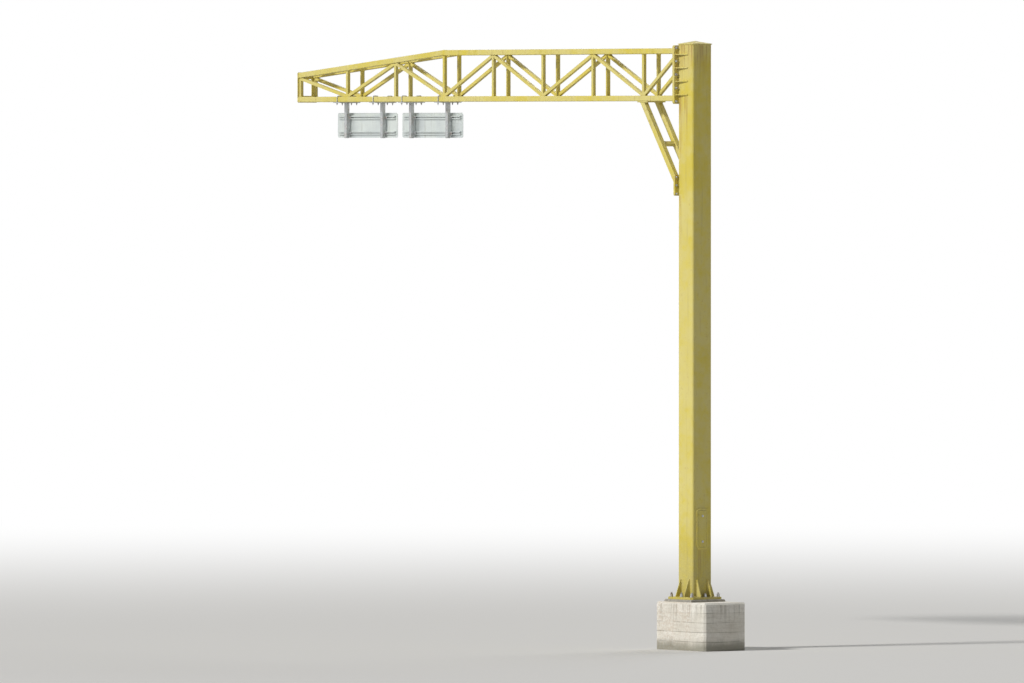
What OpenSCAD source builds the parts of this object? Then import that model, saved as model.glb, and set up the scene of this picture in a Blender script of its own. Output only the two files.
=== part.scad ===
// Overhead sign gantry of the cantilever kind. A square steel mast stands on a concrete
// plinth and carries a lattice boom on one side, with blank sign panels hung below its outer
// half. The boom runs along -X, the signs face +Y, and the origin is on the plinth's
// underside, below the mast's axis. All sizes are millimetres.

/* [Plinth] */
// Length of the plinth along the boom's direction
plinth_l = 1000; // [900:10:1400]
// Width of the plinth across the boom's direction
plinth_w = 650; // [620:10:1000]
// Height of the plinth
plinth_h = 600; // [450:10:900]
// Reach of the plinth in front of the mast's axis, below the boom
plinth_front = 380; // [330:5:450]
// Chamfer along the plinth's upper and upright edges
plinth_chamfer = 25; // [10:1:35]
// Radius of the cable duct that rises through the plinth
duct_r = 50; // [42:1:58]
// Distance of the duct's axis behind the mast's axis
duct_back = 80; // [65:1:95]
// Radius of the holding-down dowel sockets in the underside
dowel_r = 20; // [12:1:25]
// Depth of the dowel sockets
dowel_depth = 250; // [150:10:350]
// Distance of a dowel socket's axis from the plinth's sides
dowel_inset = 120; // [80:5:140]

/* [Foot of the mast] */
// Thickness of the mortar bed below the base plate
grout_h = 30; // [20:1:45]
// Reach of the mortar bed beyond the base plate
grout_margin = 20; // [10:1:30]
// Side of the square base plate
base_side = 500; // [470:5:540]
// Thickness of the base plate
base_t = 30; // [20:1:40]
// Length cut off each corner of the base plate
base_corner = 30; // [10:1:45]
// Radius of the anchor holes in the base plate
anchor_r = 14; // [10:0.5:16]
// Distance of an anchor hole's axis from the plate's edge
anchor_inset = 42; // [36:1:48]
// Radius of the cable hole in the mortar bed and the base plate
cable_hole_r = 40; // [25:1:42]
// Height of the triangular foot gussets
foot_gusset_h = 220; // [150:5:300]
// Thickness of the foot gussets
foot_gusset_t = 12; // [8:1:16]
// Distance between the two gussets on one side of the mast
foot_gusset_gap = 170; // [140:5:200]
// Distance that a foot gusset ends short of the base plate's edge
foot_gusset_edge = 14; // [8:1:24]

/* [Mast] */
// Side of the square hollow section of the mast
mast_side = 300; // [280:5:340]
// Outer corner radius of the mast
mast_r = 25; // [15:1:35]
// Rise of the mast above the boom's upper face
mast_rise = 45; // [30:1:80]
// Thickness of the cap plate
cap_t = 10; // [6:1:16]
// Reach of the cap plate beyond the mast
cap_over = 10; // [5:1:20]
// Height of the low pyramid on the cap plate
cap_pitch = 35; // [20:1:60]

/* [Access door] */
// Width of the door opening
door_w = 130; // [110:1:150]
// Height of the door opening
door_h = 460; // [380:5:540]
// Height of the door opening above the base plate
door_sill = 620; // [450:10:900]
// Thickness of the door and of its frame
door_t = 8; // [6:0.5:12]
// Width of the frame round the door
door_rim = 24; // [16:1:30]
// Running clearance round the door
door_gap = 2; // [1.5:0.5:3]
// Corner radius of the door
door_r = 20; // [12:1:30]
// Radius of a door lock's boss
lock_r = 16; // [12:1:20]
// Distance of a lock's axis from the door's end
lock_inset = 70; // [50:1:90]

/* [Boom] */
// Height of the boom's upper face above the plinth's underside
boom_top = 7500; // [6800:20:8200]
// Length of the boom from its end plate to its tip plate
boom_len = 8000; // [7600:50:8600]
// Overall width of the boom
boom_width = 300; // [280:5:330]
// Overall depth of the boom at the mast
boom_depth = 660; // [580:10:740]
// Overall depth of the boom at its tip
tip_depth = 380; // [320:10:440]
// Length of the first bay, up to the knee brace
root_bay = 700; // [600:10:850]
// Number of equal bays after the first
bays = 7; // [6:1:8]
// Number of outer bays over which the boom tapers
taper_bays = 3; // [2:1:4]
// Side of the square chord tubes
chord = 70; // [60:1:80]
// Outer corner radius of the chord tubes
chord_r = 10; // [6:1:14]
// Side of the posts and diagonals in the boom's two sides
web_bar = 40; // [30:1:50]
// Side of the bars that lace the upper and the lower chords
cross_bar = 30; // [20:1:36]
// Number of lacing diagonals in each equal bay
laces_per_bay = 3; // [2:1:4]
// Thickness of the tip plate
tip_t = 10; // [6:1:16]
// Reach of the tip plate beyond the chords
tip_over = 6; // [3:1:12]
// Width of the tip plate's border inside the chords
tip_border = 12; // [8:1:20]

/* [Flange joint] */
// Thickness of each flange plate
flange_t = 20; // [16:1:30]
// Width of the flange plates
flange_w = 420; // [400:5:460]
// Reach of the flange plates above and below the boom
flange_over = 35; // [20:1:42]
// Radius of the flange bolt holes
flange_hole_r = 11; // [8:0.5:13]
// Distance of a flange bolt's axis from the plate's edge
flange_inset = 30; // [24:1:34]
// Number of bolts up each side of the flange
flange_rows = 5; // [4:1:6]
// Thickness of the gussets behind the mast's flange
head_gusset_t = 10; // [8:1:14]
// Length of the gussets behind the mast's flange
head_gusset_l = 200; // [150:5:250]

/* [Knee braces] */
// Height between the boom's lower face and the brace's foot
knee_drop = 1050; // [900:10:1200]
// Side of the square tubes of the braces
knee_side = 70; // [60:1:75]
// Thickness of the plates at both ends of the braces
knee_plate_t = 15; // [10:1:20]
// Height of the two bolted plates at the braces' foot
knee_foot_h = 260; // [220:5:320]
// Width of the two bolted plates at the braces' foot
knee_foot_w = 400; // [380:5:440]
// Radius of the bolt holes at the braces' foot
knee_hole_r = 9; // [7:0.5:11]
// Distance of these bolts' axes from the plates' edges
knee_inset = 25; // [20:1:28]
// Number of bolts up each side of the braces' foot
knee_rows = 3; // [2:1:4]
// Length of the plate under the boom
knee_head_l = 220; // [190:5:280]
// Side of the tube that ties the two braces
knee_tie = 50; // [40:1:60]

/* [Signs] */
// Width of each sign panel
sign_w = 1300; // [1100:10:1330]
// Height of each sign panel
sign_h = 320; // [280:5:400]
// Thickness of the sign sheet
sign_t = 4; // [3:0.5:6]
// Corner radius of the sign panels
sign_r = 30; // [20:1:40]
// Distance between the outer sign and the boom's tip plate
sign_tip = 600; // [400:20:900]
// Gap between the two signs
sign_gap = 100; // [80:5:120]
// Distance between the boom's lower face and the signs
sign_drop = 140; // [110:5:200]
// Side of the square hanger posts
hanger = 50; // [40:1:55]
// Distance of a hanger's axis from the end of its sign
hanger_inset = 260; // [200:10:320]
// Thickness of the plugs that close the hangers' lower ends
plug_t = 4; // [3:0.5:8]
// Thickness of the saddle plates under the boom
saddle_t = 12; // [8:1:16]
// Length of a saddle plate along the boom
saddle_l = 130; // [110:5:160]
// Reach of a saddle plate beyond the lower chords
saddle_over = 30; // [24:1:40]
// Radius of the U-bolts that hold the saddle plates to the chords
u_bolt_r = 6; // [4:0.5:7]
// Clearance between a U-bolt and its hole or its chord
u_bolt_gap = 1; // [0.5:0.25:2]
// Height of the channel rails behind a sign
rail_h = 44; // [36:1:50]
// Depth of the channel rails
rail_d = 22; // [18:1:28]
// Wall of the channel rails
rail_wall = 4; // [3:0.5:5]
// Width of the slot in a channel rail
rail_slot = 16; // [12:1:18]
// Distance of a rail's axis from the sign's upper or lower edge
rail_inset = 60; // [50:1:80]
// Distance that a rail ends short of the sign's end
rail_short = 40; // [20:1:60]

/* [Hidden] */
$fn = 48;

PAINT = [0.87, 0.79, 0.16];
CONCRETE = [0.80, 0.77, 0.69];
MORTAR = [0.66, 0.64, 0.60];
ALUMINIUM = [0.74, 0.77, 0.78];
RUBBER = [0.12, 0.12, 0.12];

// Heights at the foot of the mast
grout_top = plinth_h + grout_h;
base_top = grout_top + base_t;
anchor_at = base_side / 2 - anchor_inset;
foot_gusset_l = (base_side - mast_side) / 2 - foot_gusset_edge;

// Heights and places of the boom
boom_bottom = boom_top - boom_depth;
mast_top = boom_top + mast_rise;
boom_root_x = -mast_side / 2 - 2 * flange_t;
bay = (boom_len - root_bay) / bays;
kink = boom_len - taper_bays * bay;
chord_y = (boom_width - chord) / 2;
inner_y = chord_y - chord / 2;
upper_axis = boom_depth - chord / 2;
drop = boom_depth - tip_depth;
slope = atan(drop / (boom_len - kink));

// Bolt rows of the flange joint, from the flange's lower edge
flange_h = boom_depth + 2 * flange_over;
flange_pitch = (flange_h - 2 * flange_inset) / (flange_rows - 1);

// Ends of the knee braces, seen from the side, and the length between them
knee_low = [-mast_side / 2 - 2 * knee_plate_t, boom_bottom - knee_drop];
knee_high = [boom_root_x - root_bay, boom_bottom - knee_plate_t];
knee_run = knee_high - knee_low;
knee_len = norm(knee_run);
knee_angle = atan2(knee_run[1], -knee_run[0]);

// Starts of the two signs along the boom
outer_sign = boom_len - sign_tip - sign_w;
inner_sign = outer_sign - sign_gap - sign_w;
rail_y = hanger / 2;
sheet_y = rail_y + rail_d;

// Reach of the block that the knee braces are cut from
beyond = 2 * knee_len;

// Distance by which the upper chord's underside bends before its axis does
bend_inside = chord / 2 * tan(slope / 2);

// Distance of panel point i from the boom's end plate
function panel_point(i) = i == 0 ? 0 : root_bay + (i - 1) * bay;
// Height of the upper chord's underside at a distance along the boom
function underside(u) =
    upper_axis - chord / 2 - max(0, u - kink + bend_inside) * tan(slope);

// Outline of a square tube with round corners
module tube_outline(side, r) {
    square([side, side - 2 * r], center = true);
    square([side - 2 * r, side], center = true);
    for (x = [-1, 1], y = [-1, 1])
        translate([x, y] * (side / 2 - r)) circle(r);
}

// Outline of a rectangle with round corners
module round_rectangle(w, h, r) {
    square([w, h - 2 * r], center = true);
    square([w - 2 * r, h], center = true);
    for (x = [-1, 1], y = [-1, 1])
        translate([x * (w / 2 - r), y * (h / 2 - r)]) circle(r);
}

// Outline of a plate whose corners are cut off at 45 degrees
module cut_plate(w, h, cut) {
    intersection() {
        square([w, h], center = true);
        rotate(45) square((w + h) / sqrt(2) - sqrt(2) * cut, center = true);
    }
}

// Outline of one lattice bar between two points, half its width longer at both ends
module bar(from, to, width) {
    run = to - from;
    translate(from) rotate(atan2(run[1], run[0]))
        translate([-width / 2, -width / 2]) square([norm(run) + width, width]);
}

// Puts the boom's own frame in place: x runs from the end plate to the tip, and
// z rises from the boom's lower face
module on_boom() {
    translate([boom_root_x, 0, boom_bottom]) mirror([1, 0, 0]) children();
}

// Turns an outline drawn in x and z into a slab centred on y
module side_slab(thickness) {
    translate([0, thickness / 2, 0]) rotate([90, 0, 0]) linear_extrude(thickness) children();
}

// Block with chamfered upright and upper edges, a cable duct and dowel sockets below
module plinth() {
    c = plinth_chamfer;
    back = plinth_l - plinth_front;
    half = plinth_w / 2;
    color(CONCRETE) difference() {
        intersection() {
            linear_extrude(plinth_h) polygon([
                [-plinth_front + c, -half], [back - c, -half], [back, -half + c], [back, half - c],
                [back - c, half], [-plinth_front + c, half], [-plinth_front, half - c],
                [-plinth_front, -half + c]]);
            side_slab(plinth_w) polygon([
                [-plinth_front, 0], [back, 0], [back, plinth_h - c], [back - c, plinth_h],
                [-plinth_front + c, plinth_h], [-plinth_front, plinth_h - c]]);
            translate([-plinth_front, 0, 0]) rotate([90, 0, 90]) linear_extrude(plinth_l) polygon([
                [-half, 0], [half, 0], [half, plinth_h - c], [half - c, plinth_h],
                [-half + c, plinth_h], [-half, plinth_h - c]]);
        }
        translate([duct_back, 0, -1]) cylinder(r = duct_r, h = plinth_h + 2);
        for (x = [-plinth_front + dowel_inset, back - dowel_inset], side = [-1, 1])
            translate([x, side * (half - dowel_inset), -1]) cylinder(r = dowel_r, h = dowel_depth + 1);
    }
}

// Bed of mortar, trowelled to a slope round its edge
module mortar_bed() {
    side = base_side + 2 * grout_margin;
    fall = min(grout_margin, grout_h) / 2;
    color(MORTAR) translate([0, 0, plinth_h]) difference() {
        intersection() {
            linear_extrude(grout_h) square(side, center = true);
            intersection_for (turn = [0, 90]) rotate(turn) side_slab(side) polygon([
                [-side / 2, 0], [side / 2, 0], [side / 2, grout_h - fall], [side / 2 - fall, grout_h],
                [-side / 2 + fall, grout_h], [-side / 2, grout_h - fall]]);
        }
        translate([duct_back, 0, -1]) cylinder(r = cable_hole_r, h = grout_h + 2);
    }
}

// Thick plate with eight anchor holes and a cable hole
module base_plate() {
    color(PAINT) translate([0, 0, grout_top]) difference() {
        linear_extrude(base_t) cut_plate(base_side, base_side, base_corner);
        translate([duct_back, 0, -1]) cylinder(r = cable_hole_r, h = base_t + 2);
        for (x = [-1, 0, 1], y = [-1, 0, 1])
            if (x != 0 || y != 0)
                translate([x * anchor_at, y * anchor_at, -1]) cylinder(r = anchor_r, h = base_t + 2);
    }
}

// Two triangular gussets on each side of the mast
module foot_gussets() {
    nose = foot_gusset_t;
    color(PAINT) translate([0, 0, base_top])
        for (turn = [0, 90, 180, 270], side = [-1, 1])
            rotate(turn) translate([mast_side / 2, side * foot_gusset_gap / 2, 0])
                side_slab(foot_gusset_t) polygon([
                    [nose, 0], [foot_gusset_l, 0], [foot_gusset_l, nose], [nose, foot_gusset_h],
                    [0, foot_gusset_h], [0, nose]]);
}

// Square tube from the base plate to the cap
module mast() {
    color(PAINT) translate([0, 0, base_top])
        linear_extrude(mast_top - base_top) tube_outline(mast_side, mast_r);
}

// Cap plate with a low pyramid that sheds rain
module mast_cap() {
    side = mast_side + 2 * cap_over;
    color(PAINT) translate([0, 0, mast_top]) {
        linear_extrude(cap_t) tube_outline(side, mast_r);
        translate([0, 0, cap_t]) rotate(45)
            cylinder(h = cap_pitch, r1 = (side / 2 - cap_over) * sqrt(2), r2 = 0, $fn = 4);
    }
}

// Places an outline drawn in width and height on the mast's rear face, at the door
module at_door() {
    translate([mast_side / 2, 0, base_top + door_sill + door_h / 2])
        rotate([90, 0, 90]) children();
}

// Raised rim welded round the access opening
module door_frame() {
    color(PAINT) at_door() linear_extrude(door_t) difference() {
        round_rectangle(door_w + 2 * door_rim, door_h + 2 * door_rim, door_r + door_rim);
        round_rectangle(door_w, door_h, door_r);
    }
}

// Door leaf with two lock bosses
module access_door() {
    color(PAINT) at_door() {
        linear_extrude(door_t)
            round_rectangle(door_w - 2 * door_gap, door_h - 2 * door_gap, door_r - door_gap);
        for (end = [-1, 1])
            translate([0, end * (door_h / 2 - lock_inset), door_t]) cylinder(r = lock_r, h = door_gap);
    }
}

// Rubber seal pressed into the gap round the door leaf, a little below its face
module door_seal() {
    color(RUBBER) at_door() linear_extrude(door_t - door_gap) difference() {
        round_rectangle(door_w, door_h, door_r);
        round_rectangle(door_w - 2 * door_gap, door_h - 2 * door_gap, door_r - door_gap);
    }
}

// Upright plate with a column of bolt holes down each side, its back at x = 0
module bolted_plate(w, h, t, hole_r, inset, rows) {
    pitch = (h - 2 * inset) / (rows - 1);
    rotate([90, 0, 90]) difference() {
        linear_extrude(t) cut_plate(w, h, inset / 2);
        for (side = [-1, 1], row = [0:rows - 1])
            translate([side * (w / 2 - inset), inset + row * pitch - h / 2, -1])
                cylinder(r = hole_r, h = t + 2);
    }
}

// One plate of the flange joint between mast and boom
module flange_plate() {
    translate([0, 0, boom_bottom + boom_depth / 2])
        bolted_plate(flange_w, flange_h, flange_t, flange_hole_r, flange_inset, flange_rows);
}

module mast_flange() {
    color(PAINT) translate([-mast_side / 2 - flange_t, 0, 0]) flange_plate();
}

module boom_end_plate() {
    color(PAINT) translate([boom_root_x, 0, 0]) flange_plate();
}

// Wing plates that stiffen the mast's flange between its bolts
module head_gussets() {
    wing = (flange_w - mast_side) / 2 - foot_gusset_edge;
    low = boom_bottom - flange_over + flange_inset;
    color(PAINT)
        for (side = [0, 1], row = [0:flange_rows - 2])
            translate([-mast_side / 2, 0, low + (row + 0.5) * flange_pitch - head_gusset_t / 2])
                mirror([0, side, 0]) translate([0, mast_side / 2, 0])
                    linear_extrude(head_gusset_t) polygon([
                        [0, mast_r / 2], [mast_r, 0], [head_gusset_l, 0],
                        [head_gusset_l, head_gusset_t], [head_gusset_t, wing], [0, wing]]);
}

// Straight square tube along x
module chord_tube(length) {
    rotate([90, 0, 90]) linear_extrude(length) tube_outline(chord, chord_r);
}

// Turns the frame so that its x = 0 plane is the mitre where the upper chords bend
module at_mitre() {
    translate([kink, 0, upper_axis]) rotate([0, slope / 2, 0]) children();
}

// Level length of an upper chord, cut to a mitre at the bend
module upper_chord(y) {
    color(PAINT) on_boom() translate([0, y, 0]) difference() {
        translate([0, 0, upper_axis]) chord_tube(kink + chord);
        at_mitre() translate([0, -chord, -chord]) cube([2 * chord, 2 * chord, 2 * chord]);
    }
}

// Raked length of an upper chord, from the mitre down to the tip plate
module raked_chord(y) {
    color(PAINT) on_boom() translate([0, y, 0]) difference() {
        translate([kink, 0, upper_axis]) rotate([0, slope, 0])
            translate([-chord, 0, 0]) chord_tube((boom_len - kink) / cos(slope) + 2 * chord);
        at_mitre() translate([-2 * chord, -chord, -chord]) cube([2 * chord, 2 * chord, 2 * chord]);
        translate([boom_len, -chord, 0]) cube([2 * chord, 2 * chord, boom_depth]);
    }
}

module lower_chord(y) {
    color(PAINT) on_boom() translate([0, y, chord / 2]) chord_tube(boom_len);
}

// One side of the boom: upright posts and diagonals that lean to and fro, cut flush
// with the chords' faces
module side_lattice(y) {
    posts = [for (i = [1:bays]) panel_point(i), boom_len - web_bar / 2];
    color(PAINT) on_boom() translate([0, y, 0]) side_slab(web_bar) intersection() {
        polygon([
            [0, chord], [boom_len, chord], [boom_len, underside(boom_len)],
            [kink - bend_inside, underside(0)], [0, underside(0)]]);
        union() {
            for (u = posts) bar([u, chord], [u, underside(u)], web_bar);
            for (i = [0:bays]) {
                u = panel_point(i);
                v = panel_point(i + 1);
                if (i % 2 == 0) bar([u, underside(u)], [v, chord], web_bar);
                else bar([u, chord], [v, underside(v)], web_bar);
            }
        }
    }
}

// Flat lacing in x and y: a batten at both ends of each bay and diagonals between them
module lacing(stops, laces) {
    reach = stops[len(stops) - 1];
    linear_extrude(cross_bar, center = true) intersection() {
        translate([stops[0], -inner_y]) square([reach - stops[0], 2 * inner_y]);
        union() {
            for (u = stops) bar([u, -inner_y], [u, inner_y], cross_bar);
            for (i = [1:len(stops) - 1], k = [0:laces - 1]) {
                step = (stops[i] - stops[i - 1]) / laces;
                u = stops[i - 1] + k * step;
                side = (i + k) % 2 == 0 ? 1 : -1;
                bar([u, -side * inner_y], [u + step, side * inner_y], cross_bar);
            }
        }
    }
}

module lower_lacing() {
    stops = [for (i = [0:bays + 1]) panel_point(i)];
    color(PAINT) on_boom() translate([0, 0, chord / 2]) lacing(stops, laces_per_bay);
}

// The upper lacing bends with the chords, as two lengths that end just short of each other
module upper_lacing() {
    joint = cross_bar / 4;
    level = [for (i = [0:bays - taper_bays]) panel_point(i), kink - joint];
    rake = [joint, for (i = [1:taper_bays]) i * bay / cos(slope)];
    color(PAINT) on_boom() {
        translate([0, 0, upper_axis]) lacing(level, laces_per_bay);
        intersection() {
            translate([kink, 0, upper_axis]) rotate([0, slope, 0]) lacing(rake, laces_per_bay);
            translate([0, -boom_width, 0]) cube([boom_len, 2 * boom_width, boom_depth]);
        }
    }
}

// Plate that closes the chords' ends, with a window between them
module tip_plate() {
    w = boom_width + 2 * tip_over;
    h = tip_depth + 2 * tip_over;
    color(PAINT) on_boom() translate([boom_len, 0, tip_depth / 2]) rotate([90, 0, 90])
        linear_extrude(tip_t) difference() {
            cut_plate(w, h, tip_border);
            round_rectangle(w - 2 * (tip_over + chord + tip_border),
                h - 2 * (tip_over + chord + tip_border), tip_border);
        }
}

// One of the two plates that bolt the braces' foot to the mast
module knee_plate(number) {
    color(PAINT) translate([-mast_side / 2 - number * knee_plate_t, 0, knee_low[1]])
        bolted_plate(knee_foot_w, knee_foot_h, knee_plate_t, knee_hole_r, knee_inset, knee_rows);
}

// Plate below the lower chords that the knee braces rise to
module knee_head_plate() {
    color(PAINT) translate([knee_high[0], 0, knee_high[1]])
        linear_extrude(knee_plate_t) cut_plate(knee_head_l, boom_width, knee_plate_t);
}

// One knee brace, cut flush with the plates at both its ends
module knee_brace(y) {
    color(PAINT) translate([0, y, 0]) intersection() {
        translate([knee_low[0], 0, knee_low[1]]) rotate([0, knee_angle - 180, 0])
            translate([-2 * knee_side, 0, 0]) rotate([90, 0, 90])
                linear_extrude(knee_len + 4 * knee_side) tube_outline(knee_side, chord_r);
        translate([knee_low[0] - beyond, -knee_side, knee_high[1] - beyond])
            cube([beyond, 2 * knee_side, beyond]);
    }
}

// Tube between the two braces, half way up
module knee_tie_bar() {
    middle = (knee_low + knee_high) / 2;
    gap = 2 * chord_y - knee_side;
    color(PAINT) translate([middle[0], gap / 2, middle[1]]) rotate([90, knee_angle, 0])
        linear_extrude(gap) tube_outline(knee_tie, chord_r / 2);
}

// Places of the hangers along the boom, two to a sign
function hanger_places() = [for (start = [inner_sign, outer_sign],
    inset = [hanger_inset, sign_w - hanger_inset]) start + inset];

// Saddle plates across the two lower chords, drilled for a U-bolt over each chord
module hanger_saddles() {
    leg = chord / 2 + u_bolt_gap + u_bolt_r;
    color(ALUMINIUM) on_boom()
        for (u = hanger_places())
            translate([u, 0, -saddle_t]) difference() {
                linear_extrude(saddle_t) cut_plate(saddle_l, boom_width + 2 * saddle_over, saddle_t);
                for (side = [-1, 1], across = [-leg, leg])
                    translate([0, side * chord_y + across, -1])
                        cylinder(r = u_bolt_r + u_bolt_gap, h = saddle_t + 2);
            }
}

module hanger_posts() {
    color(ALUMINIUM) on_boom()
        for (u = hanger_places())
            translate([u, 0, -sign_drop - sign_h])
                linear_extrude(sign_drop + sign_h - saddle_t) tube_outline(hanger, chord_r / 2);
}

// Stepped plugs that keep the rain's splash out of the hangers' lower ends
module hanger_plugs() {
    color(RUBBER) on_boom()
        for (u = hanger_places())
            translate([u, 0, -sign_drop - sign_h - plug_t]) {
                linear_extrude(plug_t) tube_outline(hanger - 2 * plug_t, chord_r / 2);
                translate([0, 0, plug_t / 2])
                    linear_extrude(plug_t / 2) tube_outline(hanger, chord_r / 2);
            }
}

// Channel rail with lips, its slot towards the hangers
module rail(start, z) {
    half = rail_h / 2;
    slot = rail_slot / 2;
    w = rail_wall;
    color(ALUMINIUM) on_boom() translate([start + rail_short, rail_y, z])
        rotate([90, 0, 90]) linear_extrude(sign_w - 2 * rail_short) polygon([
            [0, slot], [0, half], [rail_d, half], [rail_d, -half], [0, -half], [0, -slot],
            [w, -slot], [w, w - half], [rail_d - w, w - half], [rail_d - w, half - w],
            [w, half - w], [w, slot]]);
}

module sign_rails(start) {
    for (z = [-sign_drop - rail_inset, -sign_drop - sign_h + rail_inset]) rail(start, z);
}

module sign_panel(start) {
    color(ALUMINIUM) on_boom()
        translate([start + sign_w / 2, sheet_y + sign_t, -sign_drop - sign_h / 2])
            rotate([90, 0, 0]) linear_extrude(sign_t) round_rectangle(sign_w, sign_h, sign_r);
}

plinth();
mortar_bed();
base_plate();
foot_gussets();
mast();
mast_cap();
door_frame();
access_door();
door_seal();
mast_flange();
head_gussets();
boom_end_plate();
upper_chord(-chord_y);  // upper_chord_front
upper_chord(chord_y);  // upper_chord_back
raked_chord(-chord_y);  // raked_chord_front
raked_chord(chord_y);  // raked_chord_back
lower_chord(-chord_y);  // lower_chord_front
lower_chord(chord_y);  // lower_chord_back
side_lattice(-chord_y);  // side_lattice_front
side_lattice(chord_y);  // side_lattice_back
upper_lacing();
lower_lacing();
tip_plate();
knee_plate(1);  // knee_seat_plate
knee_plate(2);  // knee_foot_plate
knee_head_plate();
knee_brace(-chord_y);  // knee_brace_front
knee_brace(chord_y);  // knee_brace_back
knee_tie_bar();
hanger_saddles();
hanger_posts();
hanger_plugs();
sign_rails(inner_sign);  // inner_sign_rails
sign_rails(outer_sign);  // outer_sign_rails
sign_panel(inner_sign);  // inner_sign_panel
sign_panel(outer_sign);  // outer_sign_panel
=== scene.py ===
import math
import random

import bmesh
import bpy
from mathutils import Matrix, Vector


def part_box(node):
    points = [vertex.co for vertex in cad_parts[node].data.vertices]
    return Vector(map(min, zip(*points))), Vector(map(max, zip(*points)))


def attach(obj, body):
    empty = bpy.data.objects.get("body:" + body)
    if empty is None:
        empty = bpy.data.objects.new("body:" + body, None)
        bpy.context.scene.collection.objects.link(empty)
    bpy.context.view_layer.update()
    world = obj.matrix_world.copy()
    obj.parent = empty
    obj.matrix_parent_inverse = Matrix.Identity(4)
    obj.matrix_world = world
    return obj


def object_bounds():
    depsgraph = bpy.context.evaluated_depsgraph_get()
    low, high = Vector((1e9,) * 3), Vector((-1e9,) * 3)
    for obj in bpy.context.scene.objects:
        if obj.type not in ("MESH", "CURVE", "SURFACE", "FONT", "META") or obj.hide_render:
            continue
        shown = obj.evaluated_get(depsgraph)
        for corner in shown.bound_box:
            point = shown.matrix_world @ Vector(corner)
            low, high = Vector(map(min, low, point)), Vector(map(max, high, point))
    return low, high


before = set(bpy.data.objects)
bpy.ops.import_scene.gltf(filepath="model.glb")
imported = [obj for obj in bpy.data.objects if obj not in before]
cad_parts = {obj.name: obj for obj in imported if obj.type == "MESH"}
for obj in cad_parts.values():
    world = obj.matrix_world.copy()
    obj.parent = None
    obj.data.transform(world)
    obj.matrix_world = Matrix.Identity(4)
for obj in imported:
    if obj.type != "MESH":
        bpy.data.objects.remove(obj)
cad_low, cad_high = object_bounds()

# Plinth
# One block of cream concrete, cast in a shutter of sawn boards with fillets along its upper and
# upright edges. It stands on a buried foundation and holds the mast's eight anchor bolts.


class Socket:
    """An output of a node that can stand in a sum: every operator adds its own Math node."""

    def __init__(self, finish, output):
        self.finish = finish
        self.output = output

    def math(self, operation, first, second=0):
        return self.finish.node("Math", {"operation": operation}, {0: first, 1: second})

    def __add__(self, other):
        return self.math("ADD", self, other)

    def __radd__(self, other):
        return self.math("ADD", other, self)

    def __sub__(self, other):
        return self.math("SUBTRACT", self, other)

    def __rsub__(self, other):
        return self.math("SUBTRACT", other, self)

    def __mul__(self, other):
        return self.math("MULTIPLY", self, other)

    def __rmul__(self, other):
        return self.math("MULTIPLY", other, self)

    def __truediv__(self, other):
        return self.math("DIVIDE", self, other)

    def __rtruediv__(self, other):
        return self.math("DIVIDE", other, self)

    def or_more(self, other):
        """The larger of two values."""
        return self.math("MAXIMUM", self, other)

    def capped(self):
        """The value, or 1 where it is more."""
        return self.math("MINIMUM", self, 1)

    def between(self, low, high):
        """0 below the low limit and 1 above the high one, with a smooth step between them."""
        limits = {"Value": self, "From Min": low, "From Max": high}
        return self.finish.node("MapRange", {"interpolation_type": "SMOOTHSTEP"}, limits)


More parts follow.
